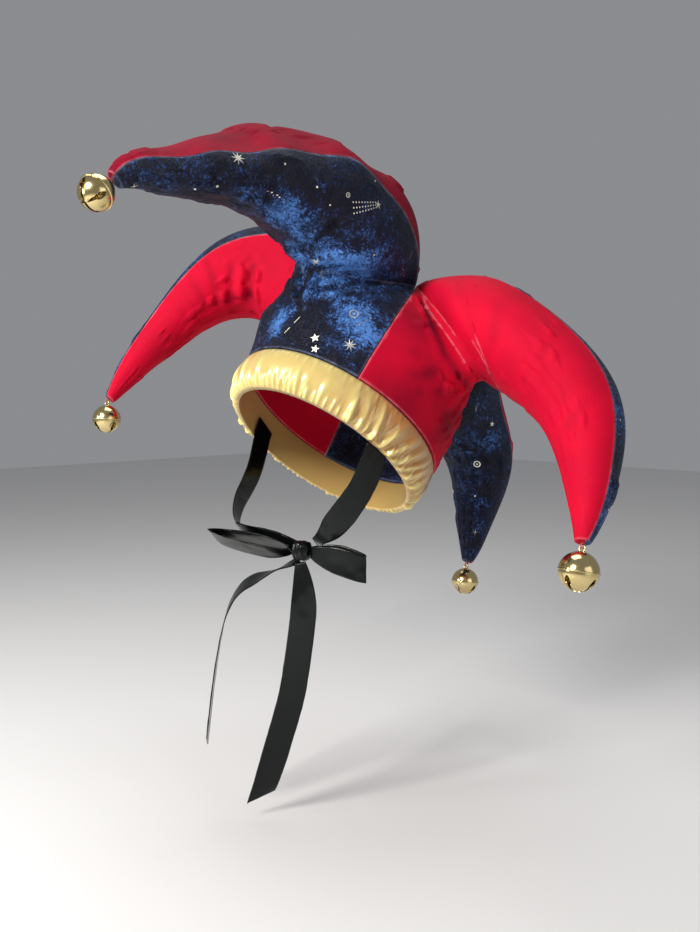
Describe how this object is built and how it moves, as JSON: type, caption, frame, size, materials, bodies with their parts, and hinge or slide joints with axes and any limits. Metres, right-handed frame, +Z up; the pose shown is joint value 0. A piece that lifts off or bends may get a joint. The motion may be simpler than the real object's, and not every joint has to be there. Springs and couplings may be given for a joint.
{
  "type": "jester hat",
  "caption": "Stuffed jester hat in red and star-printed blue velvet with a gathered gold satin band, jingle bells and a black ribbon tied under the chin",
  "frame": {"origin": "Centre of the head opening, at the band's bottom edge, where the head enters", "axes": "+Z up, -Y where the wearer looks, +X the wearer's left"},
  "size_m": [0.5258, 0.5437, 0.6252],
  "materials": {
    "blue_velvet": "crushed velvet, navy with bright blue nap and a silver foil star print",
    "red_velvet": "short pile velvet, bright red",
    "gold_satin": "glossy gathered satin",
    "black_satin": "black satin ribbon",
    "brass": "polished, plated jingle bell",
    "thread": "sewing thread"
  },
  "bodies": {
    "root": {"back_top": "red_velvet", "back_under": "blue_velvet", "band": "gold_satin", "bell_back": "brass", "bell_front": "brass", "bell_left": "brass", "bell_right": "brass", "bow_knot": "black_satin", "bow_left": "black_satin", "bow_right": "black_satin", "front_top": "red_velvet", "front_under": "blue_velvet", "left_top": "blue_velvet", "left_under": "red_velvet", "right_top": "blue_velvet", "right_under": "red_velvet", "strap_left": "black_satin", "strap_right": "black_satin", "tail_back": "black_satin", "tail_front": "black_satin", "thread_back": "thread", "thread_front": "thread", "thread_left": "thread", "thread_right": "thread"}
  },
  "joints": []
}
